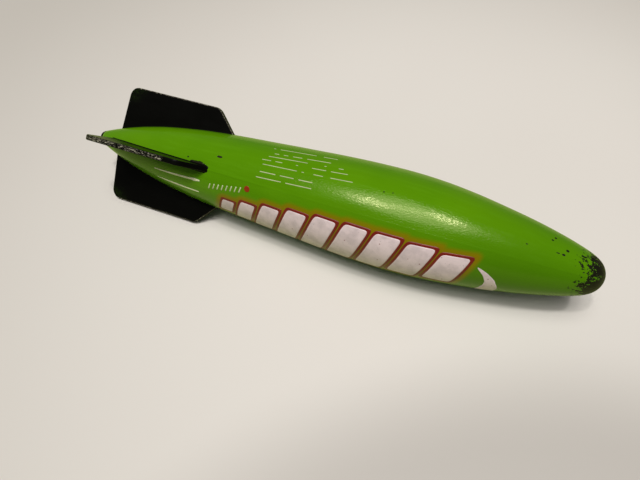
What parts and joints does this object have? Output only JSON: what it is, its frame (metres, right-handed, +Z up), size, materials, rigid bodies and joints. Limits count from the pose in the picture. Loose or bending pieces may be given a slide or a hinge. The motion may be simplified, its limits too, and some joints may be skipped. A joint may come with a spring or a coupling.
{
  "type": "underwater torpedo toy",
  "caption": "Hand-thrown underwater torpedo: hollow water-filled vinyl body with a rounded nose and a cross of flat fins at its tail.",
  "frame": {"origin": "on the body's axis, half way between the tail's end face and the tip of the nose", "axes": "+X along the body's axis towards the nose, +Z up with the toy lying on its belly and its two lower fins, +Y to its left"},
  "size_m": [0.3, 0.0552, 0.0552],
  "materials": {
    "green_paint": "satin",
    "black_vinyl": "satin",
    "white_print": "satin",
    "red_print": "satin",
    "water": "polished"
  },
  "bodies": {
    "root": {"body_shell": "green_paint", "fin_upper_left": "black_vinyl", "fin_upper_right": "black_vinyl", "fin_lower_right": "black_vinyl", "fin_lower_left": "black_vinyl", "tail_plug": "black_vinyl", "water_fill": "water"}
  },
  "joints": []
}
